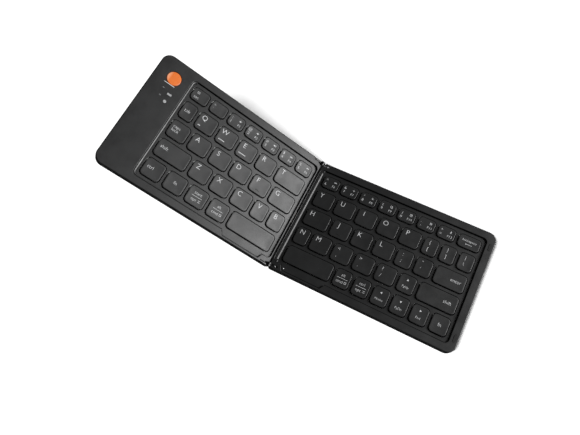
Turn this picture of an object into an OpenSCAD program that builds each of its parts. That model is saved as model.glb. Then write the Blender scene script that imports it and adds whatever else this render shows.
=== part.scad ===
// Folding pocket keyboard: two equal halves on one hinge axis.
// Each half is a top cover with a sunken key bed over a bottom cover, with
// the key plate, membrane and caps between them. The right half lies flat;
// the left half stands up from it by the fold angle.

/* [Overall] */
// Length of one half, from the hinge axis to its outer end
half_len = 145; // [140:1:150]
// Depth of the keyboard, front to back
depth = 97.2; // [96:0.2:99]
// Thickness of one half without its feet
shell_h = 7.2; // [7:0.1:9]
// Height of the feet below the bottom cover
foot_h = 1.0; // [0.8:0.1:1.5]
// Radius of the two outer corners of a half, seen from above
corner_r = 6.8; // [4:0.1:8]
// Angle that the left half is raised by, from flat
fold_angle = 29; // [0:1:60]

/* [Covers] */
// Thickness of the outer walls
wall = 1.4; // [1.2:0.1:1.6]
// Height of the top cover, from the rim down to the parting line
top_h = 3.0; // [3.0:0.1:3.4]
// Depth of the key bed below the rim
bed_depth = 1.4; // [1.3:0.1:1.6]
// Corner radius of the key bed
bed_r = 3.4; // [2:0.1:4]
// Half of the slit between the two halves when they lie flat
edge_gap = 0.25; // [0.1:0.05:0.3]
// Thickness of the bottom cover's floor
floor_t = 1.1; // [1:0.1:1.4]

/* [Keys] */
// Slit between two neighbouring key openings, left to right
key_web = 1.7; // [1.5:0.1:1.9]
// Distance from one key row to the next
row_pitch = 17.05; // [17:0.05:17.2]
// Depth of a key opening, front to back
key_depth = 14.95; // [14.8:0.05:15.1]
// Depth of a key opening in the number row
top_key_depth = 11.3; // [10.8:0.1:11.4]
// Corner radius of a key opening
key_round = 3.2; // [2.5:0.1:3.5]
// Clearance round a cap in its opening
cap_gap = 0.6; // [0.4:0.05:0.6]
// Height of a cap
cap_h = 2.55; // [2.4:0.05:2.6]
// Distance of a cap's top below the rim
cap_sink = 0.35; // [0.3:0.05:0.5]
// Thickness of a cap's roof
cap_roof = 1.0; // [0.8:0.1:1.2]
// Thickness of a cap's skirt
cap_wall = 0.9; // [0.7:0.1:1.1]

/* [Hinge] */
// Height of the hinge axis above the rims
axis_up = 0.2; // [0.15:0.05:0.3]
// Radius of the hinge knuckles
knuckle_r = 1.7; // [1.5:0.1:1.8]
// Radius of the hinge pins
pin_r = 0.6; // [0.5:0.05:0.7]
// Radial clearance of a pin in the raised half's arms
pin_play = 0.04; // [0.02:0.01:0.08]
// Width of one knuckle along the axis
knuckle_w = 1.45; // [1.4:0.05:1.5]

/* [Button] */
// Diameter of the power button
button_d = 11; // [10:0.1:12]
// Travel of the power button
button_travel = 0.4; // [0.3:0.05:0.4]

/* [Hidden] */
$fn = 48;
eps = 0.01;

// Levels in a half, measured up from the rim
z_bed = -bed_depth;
z_part = -top_h;
z_floor = -shell_h + floor_t;
z_cap = -cap_sink;
z_film = -4.9;          // underside of the membrane film
film_t = 0.2;
plate_t_right = 0.8;    // the heavier plate keeps the flat half down
plate_t_left = 0.6;
z_stem = -3.15;         // lower end of a cap's stem
// Ribbon cable: it runs along the floor, rises inside the end wall and crosses
// the seam close under the axis
z_ribbon = -5.9;
z_cross = -0.9;
x_rise = 0.95;
ribbon_t = 0.15;
ribbon_y = [39.4, 49.6];
ribbon_w = ribbon_y[1] - ribbon_y[0];

// Where the whole keyboard stands: the middle of its footprint is the origin
outer_x = half_len * cos(fold_angle) + (shell_h + axis_up) * sin(fold_angle);
shift_x = -(half_len - outer_x) / 2;
shift_y = -depth / 2;
axis_z = shell_h + foot_h + axis_up;

// Key bed of each half: nearest and furthest edge from the axis, front, back
bed_left = [1.6, 118.2];
bed_right = [1.3, 138.7];
bed_y = [5.85, 91.0];
// Thumb bay in front of the space keys: its ends at the bed, its ends at the front
bay_top = [8.3, 44.2];
bay_low = [10.4, 41.6];
bay_y = 1.8;
// Narrow groove along the foot of the bed's walls: width and depth, and its
// width along the axis in each half
groove = [0.45, 0.45];
groove_left = 1.6;
groove_right = 0.45;
// Sections of the sloping walls, drawn from the centre of the bed's corner
// towards the outside: the raised half's outer side, the flat half's axis side
slope_outer = [[3.5, -1.9], [3.5, -1.25], [2.95, -1.25], [2.95, -0.22], [2.75, -0.25], [2.1, -0.5],
               [1.6, z_bed], [1.6, -1.9]];
slope_axis = [[3.5, -1.9], [3.5, -1.0], [3.0, -1.0], [3.0, -0.2], [1.25, -0.42], [0.7, -0.84],
              [0.35, z_bed], [0.35, -1.9]];

// Key rows, from the front row back. Widths run from left to right.
row_y = [8.5, 8.5 + row_pitch, 8.5 + 2 * row_pitch, 8.5 + 3 * row_pitch, 76.9];
left_x0 = [-115.3, -115.3, -115.3, -115.3, -115.3];
right_x0 = [6.4, 6.3, 6.4, 6.4, 6.4];
left_w = [
    [15.9, 16.3, 16.3, 16.3, 39.1],
    [26.7, 16.3, 16.3, 16.3, 13.3, 13.3],
    [15.9, 16.3, 16.3, 16.3, 16.3, 21.1],
    [11.8, 16.3, 16.3, 16.3, 16.3, 25.2],
    [14.7, 14.3, 14.3, 14.3, 14.3, 14.3, 14.3]
];
right_w = [
    [39.1, 13.3, 13.3, 13.3, 13.3, 13.3, 13.9],
    [11.8, 16.1, 16, 16, 15.95, 13.55, 30.2],
    [20.7, 16, 16, 16, 13.4, 13.4, 24],
    [16.3, 16.3, 16.3, 16.3, 16.3, 12.1, 12.1, 12.1],
    [14.3, 14.3, 14.3, 14.3, 14.3, 14.3, 14.3, 17.7]
];
function before(w, i) = i == 0 ? 0 : before(w, i - 1) + w[i - 1] + key_web;
function deep(r) = r == 4 ? top_key_depth : key_depth;
function left_key(r, i) = [left_x0[r] + before(left_w[r], i), row_y[r], left_w[r][i], deep(r)];
function right_key(r, i) = [right_x0[r] + before(right_w[r], i), row_y[r], right_w[r][i], deep(r)];
left_keys = [for (r = [0:4]) for (i = [0:len(left_w[r]) - 1]) left_key(r, i)];
right_keys = [for (r = [0:4]) for (i = [0:len(right_w[r]) - 1]) right_key(r, i)];

// Heat-staked posts that hold the plate, by distance from the axis
function posts(near, far) = [
    for (y = [16.6, 50.6, 84]) [near, y],
    for (y = [16.6, 50.6, 84]) [far, y],
    for (s = [0.17, 0.5, 0.83]) [near + s * (far - near), 89.2]
];
left_posts = posts(3.6, 116.7);
right_posts = posts(4.3, 137.3);
post_r = 0.6;

button_at = [-130.3, 82.2];
window_at = [-126.8, 69.6];
dot_at = [-126.9, 63.3];
socket_x = -131.4;
socket_z = -3.8;
// Feet: pad size, and where pads lie on a half
pad = [8, 3];
pads_front = [[10.5, 6.5], [134.5, 6.5]];
pads_rib = [[10.5, 90.4], [133, 90.4]];
rib_y = [86.9, 93.9];
rib_end = 140;
rib_h = 0.7;
// Knuckle bands along the axis: outer ones belong to the left half
outer_bands = [0.3, depth - 0.3 - knuckle_w];
inner_bands = [0.3 + knuckle_w + 0.1, depth - 0.4 - 2 * knuckle_w];
leaf_len = 7;
screw_r = 0.4;
screw_at = [[4.6, 2.55], [4.6, depth - 2.6], [11.1, 3.9]];
bumper_at = [[141.8, 11.5], [141.8, 85.5]];

// ---- placing ----------------------------------------------------------
module at_axis() { translate([shift_x, shift_y, axis_z]) children(); }
// Frame of the flat half: z = 0 is its rim
module in_right() { at_axis() translate([0, 0, -axis_up]) children(); }
// Frame of the raised half, x negative away from the axis
module in_left() { at_axis() rotate([0, fold_angle, 0]) translate([0, 0, -axis_up]) children(); }

// ---- flat shapes ------------------------------------------------------
module rrect(x0, y0, x1, y1, r) {
    translate([x0 + r, y0]) square([x1 - x0 - 2 * r, y1 - y0]);
    translate([x0, y0 + r]) square([x1 - x0, y1 - y0 - 2 * r]);
    for (x = [x0 + r, x1 - r]) for (y = [y0 + r, y1 - r]) translate([x, y]) circle(r);
}
// Outline of a half: square towards the axis, round at its outer corners
module outline(inset) {
    x0 = edge_gap + inset;
    translate([x0, inset]) square([half_len - corner_r - x0, depth - 2 * inset]);
    translate([x0, corner_r]) square([half_len - inset - x0, depth - 2 * corner_r]);
    for (y = [corner_r, depth - corner_r])
        translate([half_len - corner_r, y]) circle(corner_r - inset);
}
module bed(b) {
    rrect(b[0], bed_y[0], b[1], bed_y[1], bed_r);
    polygon([[bay_top[0], bed_y[0] + 1], [bay_top[0], bed_y[0]], [bay_low[0], bay_y],
             [bay_low[1], bay_y], [bay_top[1], bed_y[0]], [bay_top[1], bed_y[0] + 1]]);
}
module bed_groove(b, near) difference() {
    rrect(b[0], bed_y[0], b[1], bed_y[1], bed_r);
    rrect(b[0] + near, bed_y[0] + groove[0], b[1] - groove[0], bed_y[1] - groove[0], bed_r - groove[0]);
    translate([bay_top[0] + groove[0], bed_y[0] - 1]) square([bay_top[1] - bay_top[0] - 2 * groove[0], 2]);
}
// The groove goes on along the slanting ends of the thumb bay
module bay_groove() {
    polygon([[bay_top[0], bed_y[0] + 0.2], [bay_top[0], bed_y[0]], [bay_low[0], bay_y],
             [bay_low[0] + groove[0] * 1.2, bay_y], [bay_top[0] + groove[0], bed_y[0] + 0.2]]);
    polygon([[bay_top[1], bed_y[0] + 0.2], [bay_top[1], bed_y[0]], [bay_low[1], bay_y],
             [bay_low[1] - groove[0] * 1.2, bay_y], [bay_top[1] - groove[0], bed_y[0] + 0.2]]);
}
module key_shape(k, inset) {
    rrect(k[0] + inset, k[1] + inset, k[0] + k[2] - inset, k[1] + k[3] - inset, key_round - inset);
}
module slab(z0, z1) { translate([0, 0, z0]) linear_extrude(z1 - z0) children(); }

// ---- covers -----------------------------------------------------------
// Room round the knuckles at both ends of the axis
module knuckle_room(z_up) {
    for (y = [-1, depth - 3.6]) translate([0, y, axis_up]) rotate([-90, 0, 0])
        cylinder(r = knuckle_r + 0.2, h = 4.6);
}
// Channel for the ribbon cable inside the end wall
module ribbon_room() translate([0, ribbon_y[0] - 0.4, 0]) {
    translate([-1, 0, z_cross - 0.25]) cube([x_rise + 1.25, ribbon_w + 0.8, 0.5]);
    translate([x_rise - 0.25, 0, z_floor]) cube([0.5, ribbon_w + 0.8, z_cross + 0.25 - z_floor]);
    translate([x_rise - 0.25, 0, z_floor]) cube([2, ribbon_w + 0.8, 2.9]);
}
module post_holes(list, r) { for (p = list) translate([p[0], p[1], -8]) cylinder(r = r, h = 6); }
module cover_posts(list) { for (p = list) translate([p[0], p[1], z_floor + 0.1]) cylinder(r = post_r, h = z_part - z_floor); }

// One sloping side of a bed, with the two corners it runs round
module sloping_side(section) {
    y0 = bed_y[0] + bed_r;
    y1 = bed_y[1] - bed_r;
    translate([0, y1, 0]) rotate([90, 0, 0]) linear_extrude(y1 - y0) polygon(section);
    translate([0, y1, 0]) rotate_extrude(angle = 90) polygon(section);
    translate([0, y0, 0]) rotate([0, 0, -90]) rotate_extrude(angle = 90) polygon(section);
}
// What is taken off the strip between the axis and the bed: a steep chamfer
// along the slit, and a slight fall towards the bed
module lip_cut(x, drop) {
    y0 = bed_y[0] + bed_r;
    y1 = bed_y[1] - bed_r;
    // the top face falls away towards the bed and runs out level at both ends
    intersection() {
        translate([0, y1, 0]) rotate([90, 0, 0]) linear_extrude(y1 - y0)
            polygon([[0.75, 0], [x + 0.1, -drop], [x + 0.1, 1], [0.75, 1]]);
        translate([0, y1, 0]) rotate([10, 0, 0]) translate([-1, -120, 0]) cube([6, 120, 3]) ;
        translate([0, y0, 0]) rotate([-10, 0, 0]) translate([-1, 0, 0]) cube([6, 120, 3]);
    }
    // rounded-off edge along the fold
    translate([0, depth, 0]) rotate([90, 0, 0]) linear_extrude(depth)
        polygon([[0, -0.6], [edge_gap, -0.6], [0.55, -0.12], [0.75, 0], [0.75, 1], [0, 1]]);
}

module right_top_cover() color([0.13, 0.13, 0.14]) in_right() {
    difference() {
        slab(z_part, 0) outline(0);
        slab(z_bed, 1) bed(bed_right);
        slab(z_bed - groove[1], 0) {
            difference() {
                bed_groove(bed_right, groove_right);
                translate([bed_right[1] - 1, 0]) square([2, depth]);
            }
            bay_groove();
        }
        lip_cut(bed_right[0], 0.28);
        slab(z_part - 1, 0) for (k = right_keys) key_shape(k, 0);
        knuckle_room();
        // slots for the hinge leaves
        for (y = inner_bands) translate([-1, y - 0.05, -1.45]) cube([leaf_len + 1.05, knuckle_w + 0.1, 4]);
        // back corner cut away beside the slot
        translate([-1, depth - 1.9, -4]) cube([3.7, 3, 5]);
        for (s = screw_at) translate([s[0], s[1], -2.8]) cylinder(r = screw_r + 0.02, h = 4);
        translate([screw_at[2][0], screw_at[2][1], -0.3]) cylinder(r = 0.77, h = 1);
        slab(-0.3, 1) for (b = bumper_at) rrect(b[0] - 0.9, b[1] - 3, b[0] + 0.9, b[1] + 3, 0.89);
        ribbon_room();
    }
    translate([bed_right[0] + bed_r, 0, 0]) mirror([1, 0, 0]) sloping_side(slope_axis);
    cover_posts(right_posts);
}

module left_top_cover() color([0.19, 0.2, 0.2]) in_left() {
    difference() {
        mirror([1, 0, 0]) difference() {
            slab(z_part, 0) outline(0);
            slab(z_bed, 1) bed(bed_left);
            slab(z_bed - groove[1], 0) { bed_groove(bed_left, groove_left); bay_groove(); }
            lip_cut(bed_left[0], 0.25);
            // hollow under the palm end
            slab(z_part - 1, -wall) rrect(bed_left[1] + wall, wall, half_len - wall, depth - wall, corner_r - wall);
            knuckle_room();
            // open corners where the hinge arms leave, and pockets for their tails
            for (y = [-1, depth - 2.0]) translate([-1, y, -1.95]) cube([8.55, 3, 4]);
            for (y = [0.85, depth - 2.95]) translate([6.9, y, -2.35]) cube([2.6, 2.1, 1.4]);
            // square notches behind the arms
            for (y = [1.9, depth - 3.0]) translate([1.3, y, -1.95]) cube([2.1, 1.1, 4]);
            ribbon_room();
        }
        slab(z_part - 1, 0) for (k = left_keys) key_shape(k, 0);
        translate([button_at[0], button_at[1], -3]) cylinder(d = button_d + 0.3, h = 4);
        slab(-2, 1) rrect(window_at[0] - 1.75, window_at[1] - 0.8, window_at[0] + 1.75, window_at[1] + 0.8, 0.5);
        translate([dot_at[0], dot_at[1], -3]) cylinder(r = 1.25, h = 4);
        socket_room();
    }
    mirror([1, 0, 0]) translate([bed_left[1] - bed_r, 0, 0]) sloping_side(slope_outer);
    mirror([1, 0, 0]) cover_posts(left_posts);
}

// Slot in the back wall for the charging plug
module socket_room() {
    translate([0, depth - wall - 0.6, 0]) rotate([-90, 0, 0]) linear_extrude(wall + 2)
        rrect(socket_x - 4.6, -socket_z - 1.72, socket_x + 4.6, -socket_z + 1.72, 1.7);
}

module bottom_cover() {
    difference() {
        union() {
            slab(-shell_h, z_part) outline(0);
            slab(-shell_h - rib_h, -shell_h + eps) {
                translate([edge_gap, rib_y[0]]) square([rib_end - 3.5 - edge_gap, rib_y[1] - rib_y[0]]);
                translate([rib_end - 3.5, (rib_y[0] + rib_y[1]) / 2]) circle(3.5);
            }
        }
        slab(z_floor, 0) outline(wall);
        // seats for the feet
        slab(-shell_h - 2, -shell_h + 0.3) for (p = pads_front) pad_shape(p, 0.03);
        slab(-shell_h - 2, -shell_h - rib_h + 0.3) for (p = pads_rib) pad_shape(p, 0.03);
        ribbon_room();
        knuckle_room();
    }
}
module pad_shape(p, grow) {
    rrect(p[0] - pad[0] / 2 - grow, p[1] - pad[1] / 2 - grow, p[0] + pad[0] / 2 + grow, p[1] + pad[1] / 2 + grow, 1.4 + grow);
}
// Ribs that carry the key plate
module plate_ribs(top, far) {
    for (s = [0.12, 0.31, 0.5, 0.69, 0.88]) for (y = [[8, 38], [54, 88]])
        translate([s * far, y[0], z_floor - eps]) cube([1, y[1] - y[0], top - z_floor + eps]);
}
module right_bottom_cover() color([0.12, 0.12, 0.13]) in_right() {
    bottom_cover();
    plate_ribs(z_film - plate_t_right, 139);
}
module left_bottom_cover() color([0.17, 0.17, 0.18]) in_left() {
    difference() {
        mirror([1, 0, 0]) bottom_cover();
        socket_room();
    }
    mirror([1, 0, 0]) plate_ribs(z_film - plate_t_left, 118);
    // ledges for the circuit board
    for (y = [46, 70, 92]) translate([-138.5, y, z_floor - eps]) cube([2, 1.6, -5.2 - z_floor + eps]);
    for (y = [54, 70, 92]) translate([-123, y, z_floor - eps]) cube([2, 1.6, -5.2 - z_floor + eps]);
}

// ---- under the keys ---------------------------------------------------
module key_plate(near, far, t, list) {
    difference() {
        slab(z_film - t, z_film) rrect(near, 3.4, far, 92.6, 2);
        post_holes(list, post_r + 0.15);
    }
}
module right_key_plate() color([0.55, 0.56, 0.58]) in_right() key_plate(2.2, 141.4, plate_t_right, right_posts);
module left_key_plate() color([0.55, 0.56, 0.58]) in_left() mirror([1, 0, 0]) key_plate(2.2, 118.4, plate_t_left, left_posts);

module membrane(near, far, list) {
    difference() {
        slab(z_film, z_film + film_t) rrect(near, 4, far, 92, 2);
        post_holes(list, post_r + 0.15);
    }
}
module domes(keys) {
    for (k = keys) translate([k[0] + k[2] / 2, k[1] + k[3] / 2, z_film + film_t - eps])
        cylinder(r1 = 2.6, r2 = 1.7, h = z_stem - 0.05 - z_film - film_t + eps);
}
module right_membrane() color([0.8, 0.82, 0.8]) in_right() { membrane(2.6, 140.8, right_posts); domes(right_keys); }
module left_membrane() color([0.8, 0.82, 0.8]) in_left() { mirror([1, 0, 0]) membrane(2.6, 118, left_posts); domes(left_keys); }

// ---- feet, bumpers ----------------------------------------------------
module feet() {
    slab(-shell_h - foot_h, -shell_h + 0.28) for (p = pads_front) pad_shape(p, 0);
    slab(-shell_h - foot_h, -shell_h - rib_h + 0.28) for (p = pads_rib) pad_shape(p, 0);
}
module right_feet() color([0.07, 0.07, 0.07]) in_right() feet();
module left_feet() color([0.07, 0.07, 0.07]) in_left() mirror([1, 0, 0]) feet();
module rim_bumpers() color([0.1, 0.1, 0.1]) in_right() slab(-0.28, 0.22)
    for (b = bumper_at) rrect(b[0] - 0.85, b[1] - 2.95, b[0] + 0.85, b[1] + 2.95, 0.84);

// ---- hinge ------------------------------------------------------------
module knuckle(y, bore) {
    translate([0, y, 0]) rotate([-90, 0, 0]) cylinder(r = knuckle_r, h = knuckle_w);
}
module bores(bands, r) {
    for (y = bands) translate([0, y - 1, 0]) rotate([-90, 0, 0]) cylinder(r = r, h = knuckle_w + 2);
}
// Drawn about the axis; the rim lies axis_up below it
module right_hinge_leaves() color([0.5, 0.5, 0.52]) at_axis() difference() {
    for (y = inner_bands) {
        knuckle(y);
        translate([0, y, -1.6]) cube([leaf_len, knuckle_w, 1.6 - axis_up - 0.4]);
    }
    bores(inner_bands, pin_r - 0.01);
    for (s = [screw_at[0], screw_at[1]]) translate([s[0], s[1], -4]) cylinder(r = screw_r + 0.03, h = 6);
}
module left_hinge_arms() color([0.2, 0.2, 0.21]) at_axis() rotate([0, fold_angle, 0]) difference() {
    for (y = outer_bands) {
        knuckle(y);
        translate([-7.5, y, -1.7]) cube([7.5, knuckle_w, 1.7 - axis_up - 0.1]);
        translate([-9.4, y < 10 ? 0.9 : depth - 2.9, -2.5]) cube([2.4, 2, 1.3]);
    }
    bores(outer_bands, pin_r + pin_play);
}
module hinge_pins() color([0.7, 0.7, 0.72]) at_axis()
    for (y = [0.4, depth - 3.4]) translate([0, y, 0]) rotate([-90, 0, 0]) cylinder(r = pin_r, h = 3.0);
module hinge_screws() color([0.8, 0.8, 0.82]) in_right() {
    for (s = [screw_at[0], screw_at[1]]) translate([s[0], s[1], 0]) {
        translate([0, 0, -0.39]) cylinder(r = 0.7, h = 0.34);
        translate([0, 0, -2.7]) cylinder(r = screw_r, h = 2.4);
    }
    translate([screw_at[2][0], screw_at[2][1], 0]) {
        translate([0, 0, -0.29]) cylinder(r = 0.75, h = 0.34);
        translate([0, 0, -2.7]) cylinder(r = screw_r, h = 2.5);
    }
}

// ---- electronics ------------------------------------------------------
module main_board() color([0.1, 0.35, 0.2]) in_left() {
    difference() {
        translate([-139, 44, -5.2]) cube([18.4, 50.5, 0.8]);
        translate([socket_x - 4.65, 89.4, -6]) cube([9.3, 6, 3]);
    }
    // switch under the button, radio module, controller and lamps
    translate([button_at[0] - 2.2, button_at[1] - 2.2, -4.4 - eps]) cube([4.4, 4.4, 0.8]);
    translate([-136, 47, -4.4 - eps]) cube([11, 12, 1.6]);
    translate([-137.5, 62, -4.4 - eps]) cube([6.5, 6.5, 0.9]);
    translate([window_at[0] - 1.2, window_at[1] - 0.6, -4.4 - eps]) cube([2.4, 1.2, 0.7]);
    translate([dot_at[0] - 0.8, dot_at[1] - 0.6, -4.4 - eps]) cube([1.6, 1.2, 0.7]);
}
module battery_cell() color([0.75, 0.76, 0.78]) in_left() slab(-5.9, -2.4) rrect(-141.5, 7, -121.5, 39, 1);
module charging_socket() color([0.75, 0.75, 0.77]) in_left() difference() {
    translate([0, depth - 7.5, 0]) rotate([-90, 0, 0]) linear_extrude(7.3)
        rrect(socket_x - 4.5, -socket_z - 1.62, socket_x + 4.5, -socket_z + 1.62, 1.6);
    translate([0, depth - 6.3, 0]) rotate([-90, 0, 0]) linear_extrude(7) difference() {
        rrect(socket_x - 4.2, -socket_z - 1.32, socket_x + 4.2, -socket_z + 1.32, 1.3);
        translate([socket_x - 3.3, -socket_z - 0.35]) square([6.6, 0.7]);
    }
}
module status_windows() color([0.9, 0.92, 0.92]) in_left() {
    slab(-1.9, -0.02) rrect(window_at[0] - 1.7, window_at[1] - 0.75, window_at[0] + 1.7, window_at[1] + 0.75, 0.45);
    translate([dot_at[0], dot_at[1], -1.9]) cylinder(r = 1.2, h = 1.88);
}
module closing_magnets() color([0.6, 0.6, 0.62]) in_left()
    for (y = [42, 60]) translate([-142.9, y, -2.7]) cube([3, 8, 1.28]);
// Ribbon between the halves: it bends about the axis at the seam
module ribbon_run(len) {
    translate([0, ribbon_y[0], z_cross - ribbon_t / 2]) cube([x_rise + ribbon_t / 2, ribbon_w, ribbon_t]);
    translate([x_rise - ribbon_t / 2, ribbon_y[0], z_ribbon - ribbon_t / 2]) cube([ribbon_t, ribbon_w, z_cross - z_ribbon + ribbon_t]);
    translate([x_rise - ribbon_t / 2, ribbon_y[0], z_ribbon - ribbon_t / 2]) cube([len, ribbon_w, ribbon_t]);
}
module flex_cable() color([0.35, 0.2, 0.08]) {
    in_right() ribbon_run(20);
    in_left() mirror([1, 0, 0]) ribbon_run(123);
    at_axis() translate([0, ribbon_y[1], 0]) rotate([90, 0, 0]) rotate([0, 0, -90 - fold_angle])
        rotate_extrude(angle = fold_angle) translate([axis_up - z_cross - ribbon_t / 2, 0]) square([ribbon_t, ribbon_w]);
}
module power_button() color([1, 0.42, 0.15]) in_left() translate([button_at[0], button_at[1], 0]) {
    translate([0, 0, -1.5]) cylinder(d = button_d, h = 1.5);
    translate([0, 0, -2.0]) cylinder(d = button_d + 1.2, h = 0.55);
    translate([0, 0, z_stem]) cylinder(r = 1.2, h = 1.3);
}

// ---- keys -------------------------------------------------------------
module cap(k) {
    difference() {
        slab(z_cap - cap_h, z_cap) key_shape(k, cap_gap);
        slab(z_cap - cap_h - 1, z_cap - cap_roof) key_shape(k, cap_gap + cap_wall);
    }
    translate([k[0] + k[2] / 2, k[1] + k[3] / 2, z_stem]) cylinder(r = 1.5, h = z_cap - cap_roof - z_stem + 0.1);
}
module left_cap(r, i) color([0.22, 0.23, 0.23]) in_left() cap(left_key(r, i));
module right_cap(r, i) color([0.14, 0.14, 0.15]) in_right() cap(right_key(r, i));

module key_z() left_cap(1, 1);
module key_x() left_cap(1, 2);
module key_c() left_cap(1, 3);
module key_v() left_cap(1, 4);
module key_b() left_cap(1, 5);
module key_a() left_cap(2, 1);
module key_s() left_cap(2, 2);
module key_d() left_cap(2, 3);
module key_f() left_cap(2, 4);
module key_g() left_cap(2, 5);
module key_q() left_cap(3, 1);
module key_w() left_cap(3, 2);
module key_e() left_cap(3, 3);
module key_r() left_cap(3, 4);
module key_t() left_cap(3, 5);
module key_n() right_cap(1, 0);
module key_m() right_cap(1, 1);
module key_h() right_cap(2, 0);
module key_j() right_cap(2, 1);
module key_k() right_cap(2, 2);
module key_l() right_cap(2, 3);
module key_y() right_cap(3, 0);
module key_u() right_cap(3, 1);
module key_i() right_cap(3, 2);
module key_o() right_cap(3, 3);
module key_p() right_cap(3, 4);
module left_space_key() left_cap(0, 4);
module right_space_key() right_cap(0, 0);
module enter_key() right_cap(2, 6);
module backspace_key() right_cap(4, 7);
module left_shift_key() left_cap(1, 0);
module right_shift_key() right_cap(1, 6);
module tab_caps_keys() { left_cap(3, 0); left_cap(2, 0); }
module left_number_keys() { for (i = [0:6]) left_cap(4, i); }
module right_number_keys() { for (i = [0:6]) right_cap(4, i); }
// brackets, backslash, semicolon, quote, comma, stop and slash
module punctuation_keys() {
    for (i = [5:7]) right_cap(3, i);
    for (i = [4:5]) right_cap(2, i);
    for (i = [2:4]) right_cap(1, i);
}
module left_modifier_keys() { for (i = [0:3]) left_cap(0, i); }
// two modifiers, four arrows and the second fn key
module right_bottom_keys() { for (i = [1:6]) right_cap(0, i); right_cap(1, 5); }

right_top_cover();
right_bottom_cover();
right_key_plate();
right_membrane();
right_feet();
rim_bumpers();
right_hinge_leaves();
hinge_pins();
hinge_screws();
left_top_cover();
left_bottom_cover();
left_key_plate();
left_membrane();
left_feet();
left_hinge_arms();
main_board();
battery_cell();
charging_socket();
status_windows();
closing_magnets();
flex_cable();
power_button();
key_a();
key_b();
key_c();
key_d();
key_e();
key_f();
key_g();
key_h();
key_i();
key_j();
key_k();
key_l();
key_m();
key_n();
key_o();
key_p();
key_q();
key_r();
key_s();
key_t();
key_u();
key_v();
key_w();
key_x();
key_y();
key_z();
left_space_key();
right_space_key();
enter_key();
backspace_key();
left_shift_key();
right_shift_key();
tab_caps_keys();
left_number_keys();
right_number_keys();
punctuation_keys();
left_modifier_keys();
right_bottom_keys();
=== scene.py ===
import math

import bmesh
import bpy
from mathutils import Matrix, Vector


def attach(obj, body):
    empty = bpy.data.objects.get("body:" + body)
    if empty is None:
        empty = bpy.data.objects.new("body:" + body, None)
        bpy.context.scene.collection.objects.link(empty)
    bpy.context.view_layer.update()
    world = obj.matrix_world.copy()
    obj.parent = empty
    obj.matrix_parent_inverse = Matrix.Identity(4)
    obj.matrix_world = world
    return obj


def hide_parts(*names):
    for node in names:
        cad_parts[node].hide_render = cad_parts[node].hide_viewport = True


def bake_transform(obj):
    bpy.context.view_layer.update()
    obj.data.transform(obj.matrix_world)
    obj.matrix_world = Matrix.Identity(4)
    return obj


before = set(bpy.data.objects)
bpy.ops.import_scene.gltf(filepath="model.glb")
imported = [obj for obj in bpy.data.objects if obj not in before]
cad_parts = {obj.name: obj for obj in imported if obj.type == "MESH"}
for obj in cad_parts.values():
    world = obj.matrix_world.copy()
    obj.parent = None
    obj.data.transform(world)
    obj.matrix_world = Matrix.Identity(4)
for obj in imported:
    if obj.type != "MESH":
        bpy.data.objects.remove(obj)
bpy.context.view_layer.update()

# ------------------------------------------------------------------ layout
# The same numbers as in the CAD source, in millimetres.
MM = 0.001
HALF_LEN, DEPTH, SHELL_H, FOOT_H, CORNER_R = 145.0, 97.2, 7.2, 1.0, 6.8
FOLD = math.radians(29)
AXIS_UP = 0.2
OUTER_X = HALF_LEN * math.cos(FOLD) + (SHELL_H + AXIS_UP) * math.sin(FOLD)
SHIFT_X, SHIFT_Y = -(HALF_LEN - OUTER_X) / 2, -DEPTH / 2
AXIS_Z = SHELL_H + FOOT_H + AXIS_UP
AXIS = Matrix.Translation((SHIFT_X, SHIFT_Y, AXIS_Z))
DOWN = Matrix.Translation((0, 0, -AXIS_UP))
RIGHT = AXIS @ DOWN
LEFT = AXIS @ Matrix.Rotation(FOLD, 4, "Y") @ DOWN
SCALE = Matrix.Scale(MM, 4)
KEY_WEB, ROW_PITCH, KEY_DEPTH, TOP_KEY_DEPTH, KEY_ROUND = 1.7, 17.05, 14.95, 11.3, 3.2
BED_DEPTH = 1.4
CAP_GAP, CAP_H, CAP_SINK, CAP_ROOF, CAP_WALL, Z_STEM = 0.6, 2.55, 0.35, 1.0, 0.9, -3.15
ROW_Y = [8.5, 8.5 + ROW_PITCH, 8.5 + 2 * ROW_PITCH, 8.5 + 3 * ROW_PITCH, 76.9]
LEFT_X0, RIGHT_X0 = [-115.3, -115.3, -115.3, -115.3, -115.3], [6.4, 6.3, 6.4, 6.4, 6.4]
LEFT_W = [[15.9, 16.3, 16.3, 16.3, 39.1],
          [26.7, 16.3, 16.3, 16.3, 13.3, 13.3],
          [15.9, 16.3, 16.3, 16.3, 16.3, 21.1],
          [11.8, 16.3, 16.3, 16.3, 16.3, 25.2],
          [14.7, 14.3, 14.3, 14.3, 14.3, 14.3, 14.3]]
RIGHT_W = [[39.1, 13.3, 13.3, 13.3, 13.3, 13.3, 13.9],
           [11.8, 16.1, 16, 16, 15.95, 13.55, 30.2],
           [20.7, 16, 16, 16, 13.4, 13.4, 24],
           [16.3, 16.3, 16.3, 16.3, 16.3, 12.1, 12.1, 12.1],
           [14.3, 14.3, 14.3, 14.3, 14.3, 14.3, 14.3, 17.7]]


def key_rect(half, row, i):
    """x, y, width, depth of a key opening in its half, in mm."""
    widths = (LEFT_W if half == "L" else RIGHT_W)[row]
    x = (LEFT_X0 if half == "L" else RIGHT_X0)[row] + sum(widths[:i]) + KEY_WEB * i
    return x, ROW_Y[row], widths[i], TOP_KEY_DEPTH if row == 4 else KEY_DEPTH


# ------------------------------------------------------------------ materials
def new_material(name):
    m = bpy.data.materials.new(name)
    m.use_nodes = True
    tree = m.node_tree
    return m, tree, tree.nodes["Principled BSDF"]


def node(tree, kind, **values):
    n = tree.nodes.new(kind)
    for k, v in values.items():
        if k in n.inputs:
            n.inputs[k].default_value = v
        else:
            setattr(n, k, v)
    return n


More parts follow.
